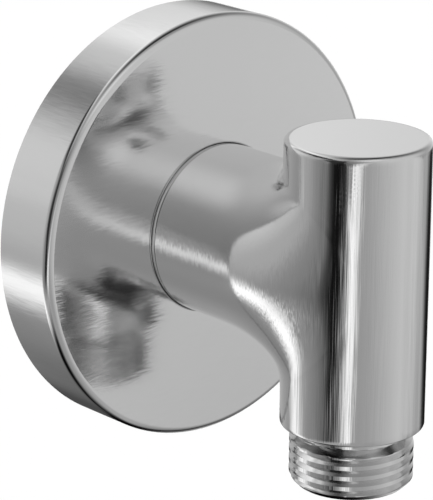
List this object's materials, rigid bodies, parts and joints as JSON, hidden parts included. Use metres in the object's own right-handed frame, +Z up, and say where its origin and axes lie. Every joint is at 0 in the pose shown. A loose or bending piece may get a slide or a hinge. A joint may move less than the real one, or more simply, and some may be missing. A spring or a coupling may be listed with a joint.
{
  "type": "shower wall outlet elbow",
  "caption": "Chromed wall outlet elbow for a shower hose: round escutcheon, horizontal arm flowing into an upright barrel with a flat top, male pipe thread pointing down.",
  "frame": {"origin": "on the arm's axis in the plane of the wall, which is the plane of the escutcheon's back rim and lies within the inlet thread", "axes": "+Y along the arm's axis into the wall, +Z up, so the arm leaves the wall along -Y and the hose outlet points along -Z"},
  "size_m": [0.0752, 0.0723, 0.0752],
  "materials": {
    "elbow_chrome": "chrome plated brass, finely satined",
    "escutcheon_chrome": "chrome plated brass, finely satined",
    "ring_rubber": "matt black"
  },
  "bodies": {
    "root": {"elbow_body": "elbow_chrome", "escutcheon": "escutcheon_chrome", "grip_ring": "ring_rubber"}
  },
  "joints": []
}
